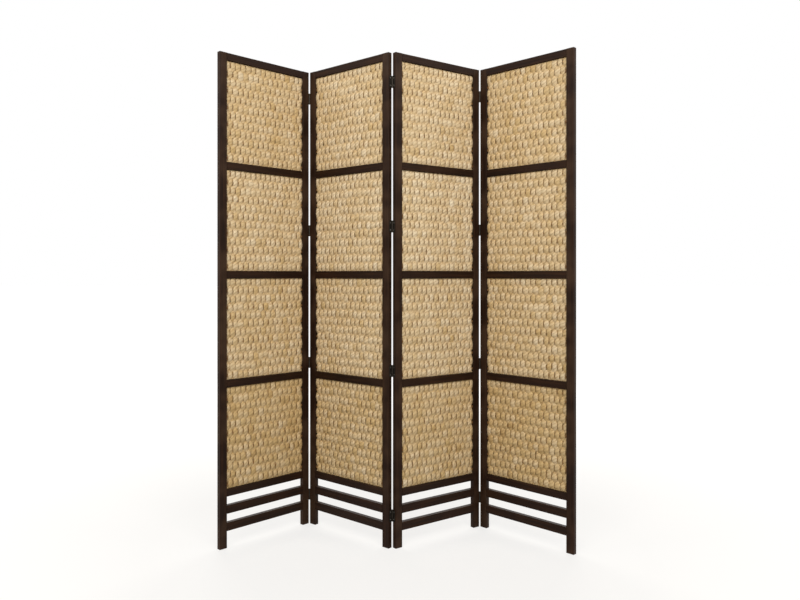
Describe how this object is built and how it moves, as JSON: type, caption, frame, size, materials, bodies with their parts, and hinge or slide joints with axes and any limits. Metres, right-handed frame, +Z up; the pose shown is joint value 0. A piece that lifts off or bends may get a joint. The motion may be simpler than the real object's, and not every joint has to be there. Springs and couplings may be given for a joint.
{
  "type": "folding screen",
  "caption": "Free-standing folding screen: slim dark wood leaves filled with woven rope mats above open slats, hinged edge to edge to stand in a zigzag, lie flat or stack.",
  "frame": {"origin": "middle of the plan's bounding box, on the floor", "axes": "+Z up, +X along the screen to the right of someone in front of it, +Y from front to back"},
  "size_m": [1.2722, 0.3418, 1.78],
  "materials": {
    "frame_wood": "satin dark stain",
    "rope_weave": "matt twisted straw rope",
    "splint_cane": "split cane",
    "hinge_metal": "dark bronze",
    "pin_metal": "plain steel"
  },
  "bodies": {
    "leaf_1": {"left_stile_1": "frame_wood", "right_stile_1": "frame_wood", "lower_slat_1": "frame_wood", "upper_slat_1": "frame_wood", "bottom_rail_1": "frame_wood", "middle_rails_1": "frame_wood", "top_rail_1": "frame_wood", "woven_mat_1_1": "rope_weave", "woven_mat_1_2": "rope_weave", "woven_mat_1_3": "rope_weave", "woven_mat_1_4": "rope_weave", "splints_1": "splint_cane", "hinge_plates_left_1": "hinge_metal", "hinge_pins_1": "pin_metal"},
    "leaf_2": {"left_stile_2": "frame_wood", "right_stile_2": "frame_wood", "lower_slat_2": "frame_wood", "upper_slat_2": "frame_wood", "bottom_rail_2": "frame_wood", "middle_rails_2": "frame_wood", "top_rail_2": "frame_wood", "woven_mat_2_1": "rope_weave", "woven_mat_2_2": "rope_weave", "woven_mat_2_3": "rope_weave", "woven_mat_2_4": "rope_weave", "splints_2": "splint_cane", "hinge_plates_right_1": "hinge_metal", "hinge_plates_left_2": "hinge_metal"},
    "leaf_3": {"left_stile_3": "frame_wood", "right_stile_3": "frame_wood", "lower_slat_3": "frame_wood", "upper_slat_3": "frame_wood", "bottom_rail_3": "frame_wood", "middle_rails_3": "frame_wood", "top_rail_3": "frame_wood", "woven_mat_3_1": "rope_weave", "woven_mat_3_2": "rope_weave", "woven_mat_3_3": "rope_weave", "woven_mat_3_4": "rope_weave", "splints_3": "splint_cane", "hinge_plates_right_2": "hinge_metal", "hinge_plates_left_3": "hinge_metal", "hinge_pins_2": "pin_metal", "hinge_pins_3": "pin_metal"},
    "leaf_4": {"left_stile_4": "frame_wood", "right_stile_4": "frame_wood", "lower_slat_4": "frame_wood", "upper_slat_4": "frame_wood", "bottom_rail_4": "frame_wood", "middle_rails_4": "frame_wood", "top_rail_4": "frame_wood", "woven_mat_4_1": "rope_weave", "woven_mat_4_2": "rope_weave", "woven_mat_4_3": "rope_weave", "woven_mat_4_4": "rope_weave", "splints_4": "splint_cane", "hinge_plates_right_3": "hinge_metal"}
  },
  "joints": [
    {"name": "fold_1", "type": "hinge", "parent": "leaf_1", "child": "leaf_2", "pos_m": [-0.33008, 0.1582, 0], "axis": [0, 0, -1], "range_deg": [-85.8, 94.2]},
    {"name": "fold_2", "type": "hinge", "parent": "leaf_2", "child": "leaf_3", "pos_m": [-0.00949, -0.09915, 0], "axis": [0, 0, 1], "range_deg": [-76.8, 103.2]},
    {"name": "fold_3", "type": "hinge", "parent": "leaf_3", "child": "leaf_4", "pos_m": [0.33779, 0.12086, 0], "axis": [0, 0, -1], "range_deg": [-81, 99]}
  ]
}
